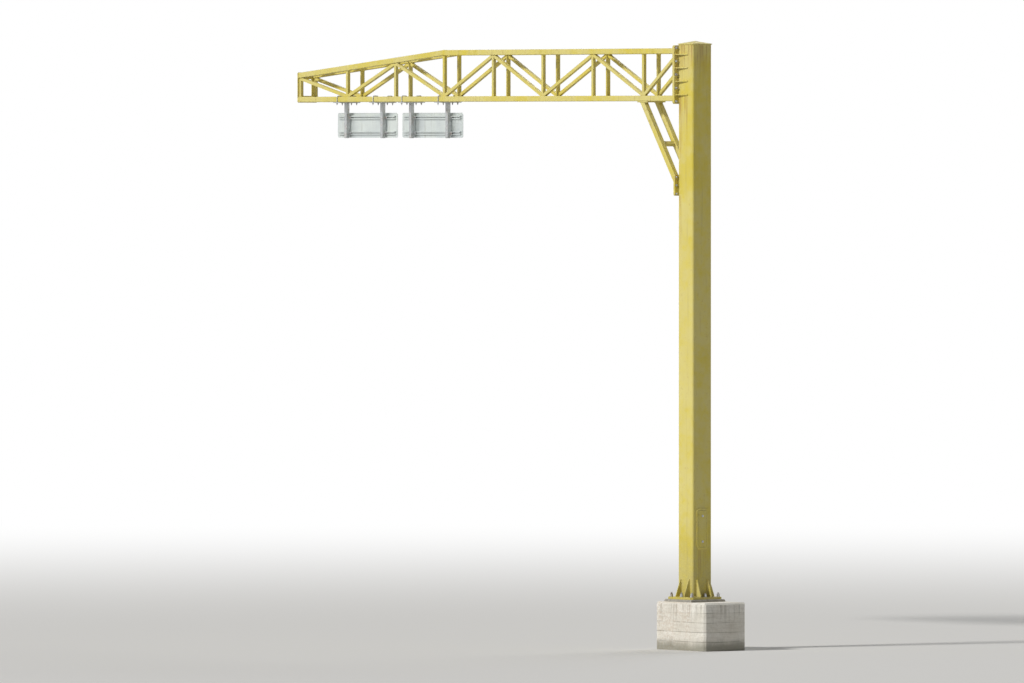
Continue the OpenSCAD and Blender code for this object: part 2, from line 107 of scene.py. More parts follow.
class Finish:
    """A material made of nodes, painted in the object's own frame, in metres, or the sky."""

    def __init__(self, name, world=None):
        owner = world or bpy.data.materials.new(name)
        owner.use_nodes = True
        self.material = None if world else owner
        self.tree = owner.node_tree
        self.tree.nodes.clear()
        self.point = None if world else self.node("TexCoord", {}, {}, "Object")

    def node(self, kind, settings, sockets, output=0):
        """Adds one shader node: first its settings, then the values or links of its sockets."""
        made = self.tree.nodes.new("ShaderNode" + kind)
        for name, value in settings.items():
            setattr(made, name, value)
        for name, value in sockets.items():
            socket = made.inputs[name]
            if isinstance(value, Socket):
                self.tree.links.new(value.output, socket)
            elif socket.type == "RGBA":
                socket.default_value = (*value, 1)
            else:
                socket.default_value = value
        return Socket(self, made.outputs[output]) if made.outputs else None

    def axis(self, vector, letter):
        """One of the three numbers of a vector."""
        return self.node("SeparateXYZ", {}, {0: vector}, letter)

    def stretched(self, x, y, z):
        """The point on the surface, with each axis stretched by its own factor."""
        return self.node("VectorMath", {"operation": "MULTIPLY"}, {0: self.point, 1: (x, y, z)})

    def noise(self, scale, detail=4, roughness=0.5, stretch=None, output=0):
        """Cloudy noise round 0.5, with a number of lumps to the metre."""
        point = self.stretched(*stretch) if stretch else self.point
        sockets = {"Vector": point, "Scale": scale, "Detail": detail, "Roughness": roughness}
        return self.node("TexNoise", {}, sockets, output)

    def coats(self, colour, *coats):
        """A colour under others, each of which covers its own share of those below."""
        for share, coat in coats:
            colour = self.node("Mix", {"data_type": "RGBA"}, {0: share, 6: colour, 7: coat}, 2)
        return colour

    def looks_up(self):
        """1 where the surface looks up, 0 where it is upright and -1 where it looks down."""
        return self.axis(self.node("NewGeometry", {}, {}, "Normal"), "Z")

    def cells(self, scale, output="Distance", feature="F1", point=None):
        """Cells round scattered points: the distance from their middle or edge, or their colour."""
        sockets = {"Vector": point or self.point, "Scale": scale}
        return self.node("TexVoronoi", {"feature": feature}, sockets, output)

    def shade_in_corners(self, reach):
        """Ambient occlusion for painted shade: 1 deep in corners and between pieces, and 0 in the open."""
        return 1 - self.node("AmbientOcclusion", {"samples": 6}, {"Distance": reach}, "AO")

    def edges(self, reach):
        """1 on sharp edges, and 0 where the surface is flat for that distance."""
        round_normal = self.node("Bevel", {"samples": 4}, {"Radius": reach})
        normal = self.node("NewGeometry", {}, {}, "Normal")
        turned = self.node("VectorMath", {"operation": "DOT_PRODUCT"}, {0: round_normal, 1: normal}, "Value")
        return (1 - turned).between(0.03, 0.2)

    def close(self, colour, roughness, height, depth, metallic=0, rounding=0.002):
        """Ends the material: height is a relief of that depth on edges that are rounded a little."""
        soft = self.node("Bevel", {"samples": 4}, {"Radius": rounding})
        relief = self.node("Bump", {}, {"Strength": 1, "Distance": depth, "Height": height, "Normal": soft})
        shader = self.node("BsdfPrincipled", {}, {
            "Base Color": colour, "Roughness": roughness, "Metallic": metallic, "Normal": relief})
        self.node("OutputMaterial", {}, {"Surface": shader})
        return self

    def looked_at(self):
        """1 where the camera looks, also by way of gloss or glass, and 0 for light that falls."""
        kinds = ("Is Camera Ray", "Is Glossy Ray", "Is Transmission Ray")
        seen, glossy, through = [self.node("LightPath", {}, {}, kind) for kind in kinds]
        return seen.or_more(glossy.or_more(through))


def dress(finish, *names):
    """Gives some of the model's own pieces their finish."""
    for name in names:
        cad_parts[name].material_slots[0].material = finish.material


board = 0.12
plinth_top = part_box("plinth")[1].z
cast = Finish("cast_concrete")
level = cast.axis(cast.point, "Z")
upright = 1 - cast.looks_up().between(0.3, 0.7)
waves = cast.noise(1.7, 3, 0.5)
height = (level + 0.012 * waves) / board
in_board = height.math("FRACT", height)
board_tone = cast.node("TexWhiteNoise", {"noise_dimensions": "1D"}, {"W": height.math("FLOOR", height)})
joint = in_board.between(0.955, 0.985) + 1 - in_board.between(0.01, 0.04)
joint *= upright * cast.noise(2.6, 5, 0.6).between(0.38, 0.6)
grain = cast.noise(14, 6, 0.62, (0.22, 0.22, 2.8))
clouds = cast.noise(3.6, 7, 0.62)
mottle = cast.noise(38, 5, 0.65)
sand = cast.noise(650, 3, 0.75)
pit, unpitted = 0, 0.6
for density, size in ((26, 0.15), (70, 0.2)):
    tone = cast.axis(cast.cells(density, "Color"), "X")
    radius = size / (1 - unpitted) * (tone - unpitted).or_more(0)
    pit = (radius - cast.cells(density)).between(0, 0.035) + pit
pit *= 0.25 + 0.75 * upright
streaks = cast.noise(1, 5, 0.6, (21, 21, 1.3))
below_top = plinth_top - level + 0.5 * (streaks - 0.5)
drip = upright * streaks.between(0.5, 0.68) * (1 - below_top.between(0.02, 0.42))
from_plate = cast.node("VectorMath", {"operation": "ABSOLUTE"}, {0: cast.point})
from_plate = cast.axis(from_plate, "X").or_more(cast.axis(from_plate, "Y"))
rusty = 1 - (from_plate + 0.16 * (clouds - 0.5)).between(0.27, 0.37)
rusty *= mottle.between(0.36, 0.62)
damp = 1 - (level + 0.22 * (clouds - 0.5) + 0.07 * (streaks - 0.5)).between(0.03, 0.19)
worn = cast.edges(0.02) * cast.noise(24, 5, 0.6).between(0.45, 0.62)
colour = cast.coats(
    (0.88, 0.86, 0.80),
    (clouds.between(0.34, 0.68), (0.77, 0.74, 0.665)),
    (0.26 * mottle.between(0.42, 0.66), (0.50, 0.46, 0.38)),
    (0.24 * board_tone * upright, (0.54, 0.50, 0.41)),
    (0.28 * grain.between(0.45, 0.7) * upright, (0.42, 0.38, 0.31)),
    (0.55 * joint, (0.30, 0.275, 0.22)),
    (0.6 * drip, (0.25, 0.23, 0.175)),
    (0.4 * rusty, (0.46, 0.27, 0.12)),
    (0.75 * damp, (0.19, 0.185, 0.135)),
    (0.5 * worn, (0.80, 0.76, 0.66)),
    (0.75 * pit.capped(), (0.20, 0.18, 0.14)))
relief = 0.12 * sand + 0.25 * mottle + 0.3 * grain * upright + 0.4 * board_tone * upright
relief -= 0.7 * joint + 1.2 * pit + 0.6 * worn
cast.close(colour, 0.88 - 0.12 * damp, relief, 0.004, rounding=0.006)
dress(cast, "plinth")

# Mortar bed
# Grey mortar packed under the base plate once the mast had been plumbed on its levelling nuts,
# then trowelled to a slope round the edge. It has dried in bands and cracked a little.
mortar = Finish("packed_mortar")
lumps = mortar.noise(30, 6, 0.6)
trowel = mortar.noise(1, 3, 0.5, (9, 9, 160))
from_edge = mortar.cells(7, feature="DISTANCE_TO_EDGE")
crack = (1 - from_edge.between(0.004, 0.012)) * mortar.noise(3).between(0.48, 0.6)
colour = mortar.coats(
    (0.44, 0.42, 0.37),
    (lumps.between(0.3, 0.7), (0.30, 0.285, 0.25)),
    (0.4 * trowel.between(0.5, 0.7), (0.52, 0.50, 0.45)),
    (0.8 * crack, (0.10, 0.09, 0.08)))
relief = 0.5 * lumps + 0.5 * trowel - 0.7 * crack
mortar.close(colour, 0.9, relief, 0.003, rounding=0.003)
dress(mortar, "mortar_bed")

# Base plate and foot gussets
# A flame-cut steel plate with two gussets on each side of the mast, all painted with the mast.
# Water stands here, so the paint has let go along the edges and below the nuts.


def yellow_paint(name, runs=(), splash=0, flaking=0.5):
    """Weathered yellow paint with painted shade in corners and between pieces. Each run is a rust
    stain: its top, its length, x, y and reach. The splash is how far dirt reaches up the foot."""
    splash_from = 0.62
    paint = Finish(name)
    z = paint.axis(paint.point, "Z")
    up = paint.looks_up()
    top = up.between(0.35, 0.85)
    under = (-1 * up).between(0.35, 0.85)
    side = 1 - top.or_more(under)
    patches = paint.noise(1.1, 5, 0.62)
    clouds = paint.noise(8, 6, 0.62)
    fine = paint.noise(75, 5, 0.62)
    peel = paint.noise(420, 2, 0.5)
    columns = paint.noise(1, 4, 0.6, (17, 17, 0.5))
    threads = paint.noise(1, 3, 0.55, (95, 95, 2.2))
    # Painted shade: the dark film is laid deep in corners and between pieces by ambient occlusion.
    corner = paint.shade_in_corners(0.05).between(0.25, 0.9) * fine.between(0.3, 0.6)
    chalk = (0.6 * patches + 0.4 * clouds).between(0.36, 0.6)
    # The dark film is part dirt (streaks, tops, undersides, splash) and part painted shade (corners).
    grime_and_shade = 0.34 * side * (0.65 * columns + 0.35 * threads).between(0.53, 0.68)
    grime_and_shade += 0.5 * corner
    grime_and_shade += 0.42 * top * clouds.between(0.4, 0.64)
    grime_and_shade += 0.55 * under * (0.5 * patches + 0.5 * clouds).between(0.35, 0.6)
    if splash:
        ragged = z + 0.35 * (columns - 0.5) + 0.25 * (clouds - 0.5)
        low = 1 - ragged.between(splash_from, splash_from + splash)
        grime_and_shade += 0.62 * low * (0.4 + 0.6 * (0.7 * fine + 0.3 * clouds).between(0.36, 0.62))
    grime_and_shade = grime_and_shade.capped()
    edge = paint.edges(0.006)
    break_up = 0.5 * fine + 0.3 * clouds + 0.2 * patches
    chip_from = 0.605 - 0.075 * flaking
    chip = edge * break_up.between(chip_from, chip_from + 0.03)
    blister = (0.7 * paint.noise(21, 7, 0.68) + 0.3 * patches).between(0.64, 0.665)
    bare = chip.or_more(blister * flaking)
    stain = 0.4 * edge * break_up.between(chip_from - 0.05, chip_from + 0.01)
    halo = (0.7 * paint.noise(21, 3, 0.6) + 0.3 * patches).between(0.585, 0.65)
    smear = paint.noise(21, 4, 0.6, (1, 1, 0.16))
    smear = (0.6 * smear + 0.4 * patches).between(0.56, 0.63) * threads.between(0.4, 0.6)
    stain += flaking * (0.45 * halo + 0.4 * side * smear)
    for run_top, length, x, y, reach in runs:
        away = paint.node("VectorMath", {"operation": "DISTANCE"}, {
            0: paint.stretched(1, 1, 0), 1: (x, y, 0)}, "Value")
        fall = (run_top - z) / length
        window = fall.between(-0.01, 0.01)
        window *= 1 - (fall + 1.1 * (columns - 0.5)).between(0.05, 0.95)
        narrow = 1 - (away + 0.9 * reach * (columns - 0.5)).between(0.4 * reach, reach)
        stain += window * narrow * (0.55 * columns + 0.45 * threads).between(0.44, 0.64)
    stain = stain.capped()
    colour = paint.coats(
        (0.70, 0.578, 0.065),
        (chalk, (0.745, 0.665, 0.25)),
        (0.2 * clouds.between(0.35, 0.65), (0.60, 0.475, 0.055)),
        # Dark film: grime, and shade painted into corners.
        (0.62 * grime_and_shade, (0.17, 0.15, 0.09)),
        (0.66 * stain, (0.33, 0.14, 0.035)),
        (bare, paint.coats((0.15, 0.055, 0.02), (fine, (0.33, 0.14, 0.055)))))
    rough = 0.36 + 0.18 * chalk + 0.22 * grime_and_shade + 0.3 * bare
    relief = 0.08 * peel + 0.22 * clouds - 0.55 * bare + 0.3 * bare * fine
    return paint.close(colour, rough, relief, 0.0016, rounding=0.0025)


plate_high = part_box("base_plate")[1]
plate_paint = yellow_paint("plate_paint", splash=0.5, flaking=1)
dress(plate_paint, "base_plate", "foot_gussets")

# Anchor bolts
# Eight galvanised M24 holding-down bolts cast into the plinth, each with a plate washer, a full
# nut and a thin lock nut. The threads stand a little proud of the nuts.


class Shell:
    """The points and faces of a piece that is being put together."""

    def __init__(self):
        self.points = []
        self.faces = []

    def add(self, points, faces, place):
        """Adds a closed body whose faces all wind one way, and turns them outward."""
        first = len(self.points)
        points = [place @ Vector(point) for point in points]
        rays = [point - points[0] for point in points]
        volume = sum(rays[face[0]].dot(rays[a].cross(rays[b]))
                     for face in faces for a, b in zip(face[1:], face[2:]))
        way = 1 if volume > 0 else -1
        self.points += points
        self.faces += [[first + corner for corner in face][::way] for face in faces]

    def loft(self, rings, place=Matrix(), looped=False):
        """Skins rings of points. The ends are closed, or joined to each other in a loop."""
        count = len(rings[0])
        faces = []
        for i in range(len(rings) if looped else len(rings) - 1):
            here = i * count
            there = (i + 1) % len(rings) * count
            for k in range(count):
                j = (k + 1) % count
                faces.append((here + k, here + j, there + j, there + k))
        if not looped:
            faces.append(range(count)[::-1])
            faces.append(range(count * len(rings) - count, count * len(rings)))
        self.add([point for ring in rings for point in ring], faces, place)

    def piece(self, name, finish, crease=35):
        """Makes the piece, which rides on the one body."""
        mesh = bpy.data.meshes.new(name)
        mesh.from_pydata(self.points, [], self.faces)
        mesh.shade_smooth()
        mesh.set_sharp_from_angle(angle=math.radians(crease))
        mesh.materials.append(finish.material)
        made = placed(name, mesh)
        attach(made, "root")


def placed(name, data):
    """An object in the scene, made from its mesh, lamp or lens."""
    made = bpy.data.objects.new(name, data)
    bpy.context.scene.collection.objects.link(made)
    return made


SIDES = 24
tilt = math.tan(math.radians(30))


def spun(turn, radius=1, height=0):
    """The point at a radius and a height that is turned about z by an angle."""
    return Vector((radius * math.cos(turn), radius * math.sin(turn), height))


def circle(radius, height, sides=SIDES):
    return [spun(math.tau * k / sides, radius, height) for k in range(sides)]


def hexagon(flats, face, height, sign):
    """Ring of a hexagon, cut by the cone that chamfers it from the round face at that height."""
    ring = []
    for k in range(SIDES):
        turn = math.tau * k / SIDES
        r = flats / 2 / math.cos(turn % (math.tau / 6) - math.tau / 12)
        ring.append(spun(turn, r, height - sign * (r - face) * tilt))
    return ring


def bolt_head(flats, height):
    face = 0.475 * flats
    return [circle(face, 0), hexagon(flats, face, 0, -1), hexagon(flats, face, height, 1),
            circle(face, height)]


def nut(flats, height, bore):
    return [circle(bore, 0), *bolt_head(flats, height), circle(bore, height)]


def washer(radius, bore, height):
    bevel = 0.2 * height
    return [circle(bore, 0), circle(radius - bevel, 0), circle(radius, bevel),
            circle(radius, height - bevel), circle(radius - bevel, height), circle(bore, height)]


def thread(radius, pitch, length, sides=16):
    """Points and faces of a screw thread that stands on z = 0, cut square at both ends."""
    rings = 2 * math.ceil(length / pitch) + 8
    depth = 0.55 * pitch
    winding = bmesh.new()
    grid = []
    for k in range(rings):
        r = radius - k % 2 * depth
        for i in range(sides):
            turn = i / sides
            grid.append(winding.verts.new(spun(math.tau * turn, r, (k / 2 + turn - 1.5) * pitch)))
    for k in range(rings - 3):
        for i in range(sides):
            j = (i + 1) % sides
            up = k + 2 if i == sides - 1 else k
            winding.faces.new((grid[k * sides + i], grid[up * sides + j],
                               grid[(up + 1) * sides + j], grid[(k + 1) * sides + i]))
    for height, away in ((0, -1), (length, 1)):
        everything = winding.verts[:] + winding.edges[:] + winding.faces[:]
        cut = bmesh.ops.bisect_plane(winding, geom=everything, plane_co=(0, 0, height),
                                     plane_no=(0, 0, away), clear_outer=True)
        rim = [part for part in cut["geom_cut"] if isinstance(part, bmesh.types.BMEdge)]
        bmesh.ops.contextual_create(winding, geom=rim)
    bmesh.ops.dissolve_degenerate(winding, edges=winding.edges, dist=0.00001)
    bmesh.ops.delete(winding, geom=[v for v in winding.verts if not v.link_faces], context="VERTS")
    bmesh.ops.recalc_face_normals(winding, faces=winding.faces)
    winding.verts.index_update()
    points = [vert.co.copy() for vert in winding.verts]
    faces = [[vert.index for vert in face.verts] for face in winding.faces]
    winding.free()
    return points, faces


def at(point, axis=(0, 0, 1), turn=0):
    """The place of a fastener that leaves a point along an axis, turned about it."""
    aim = Vector(axis).to_track_quat("Z", "Y").to_matrix().to_4x4()
    return Matrix.Translation(point) @ aim @ Matrix.Rotation(turn, 4, "Z")


def nut_on(shell, seat, axis, disc, hexagonal):
    """A washer on a face that looks along an axis, and a nut on it, each given by its sizes."""
    shell.loft(washer(*disc), at(seat, axis), looped=True)
    shell.loft(nut(*hexagonal), at(seat + axis * disc[2], axis, random.random()), looped=True)


upward, to_tip = Vector((0, 0, 1)), Vector((-1, 0, 0))


def zinc_finish(name, rusting):
    """Hot-dip galvanised steel: dull spangles, pale bloom and a little rust."""
    zinc = Finish(name)
    swirl = {0: zinc.noise(90, 3, 0.6, output="Color"), 1: (0.012,) * 3, 2: zinc.point}
    frost = zinc.node("VectorMath", {"operation": "MULTIPLY_ADD"}, swirl)
    tone = zinc.axis(zinc.cells(80, "Color", point=frost), "X")
    clouds = zinc.noise(16, 6, 0.6)
    fine = zinc.noise(160, 4, 0.6)
    bloom = clouds.between(0.46, 0.66)
    rust = rusting * (0.6 * zinc.noise(45, 6, 0.65) + 0.4 * clouds).between(0.5, 0.62)
    rust = rust.or_more(rusting * zinc.edges(0.003) * fine.between(0.4, 0.6))
    colour = zinc.coats(
        (0.45, 0.47, 0.48),
        (tone, (0.56, 0.58, 0.59)),
        (0.6 * bloom, (0.66, 0.67, 0.66)),
        (0.9 * rust, zinc.coats((0.12, 0.045, 0.015), (fine, (0.30, 0.125, 0.035)))))
    rough = 0.42 + 0.12 * tone + 0.2 * bloom + 0.25 * rust
    metallic = (0.85 - 0.45 * bloom) * (1 - rust)
    relief = 0.3 * tone + 0.3 * fine + 0.5 * rust
    return zinc.close(colour, rough, relief, 0.0006, metallic, rounding=0.0008)


bolt_zinc = zinc_finish("bolt_zinc", 0.9)
random.seed(11)
anchor_r, anchor_pitch, anchor_inset, anchor_sink = 0.012, 0.003, 0.042, 0.01
anchor_length, anchor_spread = 0.06, 0.008
flats, bore, washer_r, washer_h, nut_h, lock_h = 0.036, 0.0118, 0.026, 0.005, 0.0215, 0.012
anchor_at = plate_high.x - anchor_inset
anchor_spots = [(x * anchor_at, y * anchor_at) for x in (-1, 0, 1) for y in (-1, 0, 1) if x or y]
anchors = Shell()
for x, y in anchor_spots:
    seat = Vector((x, y, plate_high.z))
    nut_on(anchors, seat, upward, (washer_r, bore, washer_h), (flats, nut_h, bore))
    place = at(seat + upward * (washer_h + nut_h), turn=random.random())
    anchors.loft(nut(flats, lock_h, bore), place, looped=True)
    length = anchor_length + random.uniform(0, anchor_spread)
    place = at(seat - upward * anchor_sink, turn=random.random())
    anchors.add(*thread(anchor_r, anchor_pitch, length, 24), place)
anchors.piece("anchor_bolts", bolt_zinc)

# Welds at the mast's foot
# Fillets laid by hand round the mast and along both sides of each gusset, then painted over. The
# gussets' inner corners are snipped so that the mast's own weld runs through.


def bead(corner, out, up, leg):
    """Section of a fillet in the corner between two surfaces that leave it along out and up."""
    sink = 0.25 * leg
    return [corner - sink * (out + up), corner + leg * out - 0.4 * sink * up,
            corner + 0.76 * leg * out + 0.34 * leg * up, corner + 0.34 * leg * out + 0.76 * leg * up,
            corner + leg * up - 0.4 * sink * out]


def butt(corner, out, across, half):
    """Section of a low weld over a flush joint, on a surface that looks out."""
    return [corner + half * (math.cos(turn) * across + 0.36 * math.sin(turn) * out)
            for turn in (math.tau * k / 8 for k in range(8))]


def weld(shell, stations, leg, looped=False, section=bead):
    """Lays a rippled bead of weld along stations, which are (corner, out, up) each."""
    ripple = 0.005
    if looped:
        stations = stations + stations[:1]
    path = []
    for start, end in zip(stations, stations[1:]):
        steps = max(1, round((end[0] - start[0]).length / ripple))
        path += [[a.lerp(b, k / steps) for a, b in zip(start, end)] for k in range(steps)]
    if not looped:
        path.append(stations[-1])
    rings = []
    for k, station in enumerate(path):
        size = 0.91 + 0.16 * (k % 2) + random.uniform(-0.05, 0.05)
        if not looped:
            size *= min(1, 0.5 + 0.35 * min(k, len(path) - 1 - k))
        rings.append(section(*station, leg * size))
    shell.loft(rings, looped=looped)


def seam(shell, start, end, out, up, leg):
    """A straight weld between two points."""
    weld(shell, [(Vector(spot), Vector(out), Vector(up)) for spot in (start, end)], leg)


def stood(point, along, leaves):
    """The place on a face whose x runs along one direction and whose z leaves in another."""
    turn = Matrix((along, leaves.cross(along), leaves)).transposed().to_4x4()
    return Matrix.Translation(point) @ turn


def round_tube(place, radius, width, height=None):
    """Stations round the foot of a tube, square or not, that stands on the place's own xy plane."""
    height = height or width
    spin = place.to_3x3()
    stations = []
    for quarter, (sx, sy) in enumerate(((1, 1), (-1, 1), (-1, -1), (1, -1))):
        middle = Vector((sx * (width / 2 - radius), sy * (height / 2 - radius), 0))
        for k in range(5):
            out = spun(math.tau * (quarter + k / 4) / 4)
            stations.append((place @ (middle + radius * out), spin @ out, spin @ upward))
    return stations


mast_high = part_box("mast")[1]
mast_half, mast_r, mast_leg = mast_high.x, 0.025, 0.01
gusset_t, gusset_h, gusset_gap, gusset_nose, gusset_leg = 0.012, 0.22, 0.17, 0.012, 0.007
gusset_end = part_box("foot_gussets")[1].x
bead_crease = 50
foot_welds = Shell()
weld(foot_welds, round_tube(at((0, 0, plate_high.z)), mast_r, 2 * mast_half), mast_leg, True)
for quarter in range(4):
    spin = Matrix.Rotation(math.tau * quarter / 4, 3, "Z")
    ahead = spin @ -to_tip
    for y in (-gusset_gap / 2, gusset_gap / 2):
        for side in (-1, 1):
            face = y + side * gusset_t / 2
            out = spin @ Vector((0, side, 0))
            for spots, up in ((((mast_half + gusset_nose, 0), (gusset_end, 0)), (0, 0, 1)),
                              (((mast_half, gusset_nose), (mast_half, gusset_h)), ahead)):
                ends = [spin @ Vector((x, face, plate_high.z + z)) for x, z in spots]
                seam(foot_welds, *ends, out, up, gusset_leg)
foot_welds.piece("foot_welds", plate_paint, bead_crease)

# Mast
# A square hollow section of rolled steel, 300 mm across, with a plate welded on as its cap. Rust
# runs down it from the flange, the knee plates, the door and the cap.
seat_low, seat_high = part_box("knee_seat_plate")
flange_low, flange_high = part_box("mast_flange")
rim_low, rim_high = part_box("door_frame")
wing_foot = 6.9
runs = [
    (mast_high.z, 0.55, 0, 0, 0.6),
    (wing_foot, 0.95, -0.06, -mast_half, 0.16),
    (wing_foot, 0.9, -0.06, mast_half, 0.16),
    (flange_low.z, 1.2, flange_high.x, -mast_half, 0.1),
    (flange_low.z, 0.9, flange_high.x, mast_half, 0.1),
    (seat_low.z, 1.7, seat_high.x, -mast_half, 0.09),
    (seat_low.z, 1.1, seat_high.x, 0.05, 0.12),
    (rim_low.z, 0.5, rim_low.x, -0.04, 0.04),
    (rim_low.z, 0.35, rim_low.x, 0.045, 0.035),
]
mast_paint = yellow_paint("mast_paint", runs, splash=1.3, flaking=0.45)
dress(mast_paint, "mast")
cap_paint = yellow_paint("cap_paint", flaking=0.9)
dress(cap_paint, "mast_cap")
cap_leg = 0.007
cap_welds = Shell()
weld(cap_welds, round_tube(at((0, 0, mast_high.z), -upward), mast_r, 2 * mast_half), cap_leg, True)
cap_welds.piece("cap_weld", cap_paint, bead_crease)

# Access door
# A flush steel door on a black rubber seal in a rim welded to the mast, shut by two locks that are
# turned with a three-sided key. It closes the opening at the cable terminals.
below_lock = rim_low.z + 0.085
door_paint = yellow_paint("door_paint", [(below_lock, 0.09, rim_high.x, 0, 0.016)], flaking=0.7)
dress(door_paint, "door_frame", "access_door")
leaf_low, leaf_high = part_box("access_door")
rim_r, rim_leg = 0.044, 0.005
rim_middle = (rim_low + rim_high) / 2
rim_place = stood(Vector((mast_half, 0, rim_middle.z)), -upward, -to_tip)
door_rim = round_tube(rim_place, rim_r, rim_high.z - rim_low.z, rim_high.y - rim_low.y)
door_welds = Shell()
weld(door_welds, door_rim, rim_leg, True)
door_welds.piece("door_weld", door_paint, bead_crease)

rubber = Finish("dusty_rubber")
dust = rubber.noise(60, 5, 0.6).between(0.4, 0.7)
colour = rubber.coats((0.02, 0.02, 0.02), (0.35 * dust, (0.16, 0.15, 0.12)))
rubber.close(colour, 0.55 + 0.3 * dust, dust, 0.0004)
dress(rubber, "door_seal")

lock_zinc = zinc_finish("lock_zinc", 0.25)
lock_inset = 0.068
lock_rim = [circle(r, h) for r, h in ((0.0152, 0), (0.0152, 0.0014), (0.0144, 0.0022),
                                      (0.0098, 0.0022), (0.0092, 0.0016), (0.0092, 0.0004))]
lock_core = [circle(r, h, 3) for r, h in ((0.0068, 0.0003), (0.0068, 0.002), (0.006, 0.0027))]
locks = Shell()
for height in (leaf_low.z + lock_inset, leaf_high.z - lock_inset):
    place = at((leaf_high.x, 0, height), -to_tip, math.tau / 4)
    locks.loft(lock_rim, place)
    locks.loft(lock_core, place)
locks.piece("door_locks", lock_zinc)

# Flange joint
# The boom's end plate is drawn to the mast's flange by ten M20 bolts, with their heads on the
# boom's side. Small wing plates behind the flange stiffen it between the bolts.
flange_inset, flange_rows = 0.03, 5
flange_y = flange_high.y - flange_inset
joint_paint = yellow_paint("joint_paint", [
    (flange_high.z, 0.75, flange_low.x, y, 0.05) for y in (-flange_y, flange_y)], flaking=0.9)
dress(joint_paint, "mast_flange", "boom_end_plate", "head_gussets")


def bolt_columns(name, heights, y, head_x, nut_x, sizes, spare):
    """Bolts along x in two columns, y to each side, between a face for heads and one for nuts.
    The sizes are the radius, the width across flats and the heights of head and nut, which the
    rest follows. Spare is the least and the most thread beyond the nut."""
    radius, flats, head_h, nut_h = sizes
    washer_h = 0.3 * radius
    disc = (1.84 * radius, 0.98 * radius, washer_h)
    bolts = Shell()
    for z in heights:
        for side in (-y, y):
            length = washer_h + nut_h + random.uniform(*spare)
            head_face, nut_face = Vector((head_x, side, z)), Vector((nut_x, side, z))
            under_head = head_face + to_tip * washer_h
            bolts.loft(bolt_head(flats, head_h), at(under_head, to_tip, random.random()))
            bolts.loft(washer(*disc), at(head_face, to_tip), looped=True)
            nut_on(bolts, nut_face, -to_tip, disc, (flats, nut_h, 0.96 * radius))
            shank = [circle(0.97 * radius, h) for h in (0, washer_h + nut_x - head_x)]
            bolts.loft(shank, at(under_head, -to_tip))
            bolts.add(*thread(radius, 0.25 * radius, length), at(nut_face, -to_tip))
    bolts.piece(name, bolt_zinc)


def spaced(low, high, inset, count):
    """Evenly spaced places between two edges, the first and the last of them that far in."""
    return [low + inset + k * (high - low - 2 * inset) / (count - 1) for k in range(count)]


flange_z = spaced(flange_low.z, flange_high.z, flange_inset, flange_rows)
root_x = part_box("boom_end_plate")[0].x
bolt_columns("flange_bolts", flange_z, flange_y, root_x, flange_high.x,
             (0.01, 0.03, 0.0125, 0.016), (0.005, 0.009))

flat_half, groove_y = 0.125, 0.133


def groove_seam(shell, low, high, side, inset, leg):
    """Weld up one side of the mast's face to a plate on it, in the groove at the mast's corner."""
    seam(shell, (high.x, side * groove_y, low.z + inset), (high.x, side * groove_y, high.z - inset),
         (0, side, 0), (1, 0, 0), leg)


def end_seams(shell, low, high, leg):
    """Welds along the lower and upper ends of a plate on the mast's face."""
    for z, up in ((low.z, -1), (high.z, 1)):
        seam(shell, (high.x, -flat_half, z), (high.x, flat_half, z), (0, 0, up), (-1, 0, 0), leg)


joint_welds = Shell()
wing_t, wing_end, wing_leg = 0.01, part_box("head_gussets")[1].x, 0.006
wing_near, wing_far = mast_half + 0.013, mast_half + 0.045
for side in (-1, 1):
    groove_seam(joint_welds, flange_low, flange_high, side, 0.005, 0.014)
    for z in [(a + b) / 2 for a, b in zip(flange_z, flange_z[1:])]:
        for up in (-1, 1):
            face = z + up * wing_t / 2
            seam(joint_welds, (flange_high.x + mast_r, side * mast_half, face),
                 (wing_end, side * mast_half, face), (0, 0, up), (0, side, 0), wing_leg)
            seam(joint_welds, (flange_high.x, side * wing_near, face),
                 (flange_high.x, side * wing_far, face), (0, 0, up), (1, 0, 0), wing_leg)
end_seams(joint_welds, flange_low, flange_high, 0.009)
joint_welds.piece("flange_welds", joint_paint, bead_crease)

# Boom
# Four square chord tubes, two sides of posts and diagonals, and zigzag lacing above and below, all
# welded in a jig and painted. The upper chords are mitred where the boom starts to taper.
boom_paint = yellow_paint("boom_paint", flaking=0.6)
dress(boom_paint, "upper_lacing", "lower_lacing", "tip_plate", *(
    part + side for part in ("upper_chord", "raked_chord", "lower_chord", "side_lattice")
    for side in ("_front", "_back")))
tip_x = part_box("tip_plate")[1].x
lower_low, lower_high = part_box("lower_chord_back")
upper_low, upper_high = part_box("upper_chord_back")
chord = lower_high.z - lower_low.z
chord_y = (lower_low.y + lower_high.y) / 2
chord_r = 0.01
root_bay, bays, taper_bays, tip_drop = 0.7, 7, 3, 0.28
boom_len = root_x - tip_x
bay = (boom_len - root_bay) / bays
kink = boom_len - taper_bays * bay
slope = math.atan(tip_drop / (boom_len - kink))
rake_len = (boom_len - kink) / math.cos(slope)
lower_axis = lower_low.z + chord / 2
upper_axis = upper_high.z - chord / 2
tip_axis = upper_axis - tip_drop
work_points = [0] + [root_bay + i * bay for i in range(bays + 1)]


def chord_faces(y, inward=None):
    """Three frames on the faces of a side's chords: one on the lower chord and two on the upper.
    The faces look inward where that is given, and else at the other chord. Local x runs to the
    tip, z leaves the face, and y goes across the bars."""
    frames = []
    raked = Vector((-math.cos(slope), 0, -math.sin(slope)))
    for x, z, along, other in ((root_x, lower_axis, to_tip, upward), (root_x, upper_axis, to_tip, -upward),
                               (root_x - kink, upper_axis, raked, Vector((-raked.z, 0, raked.x)))):
        leaves = inward or other
        frames.append(stood(Vector((x, y, z)) + leaves * chord / 2, along, leaves))
    return frames


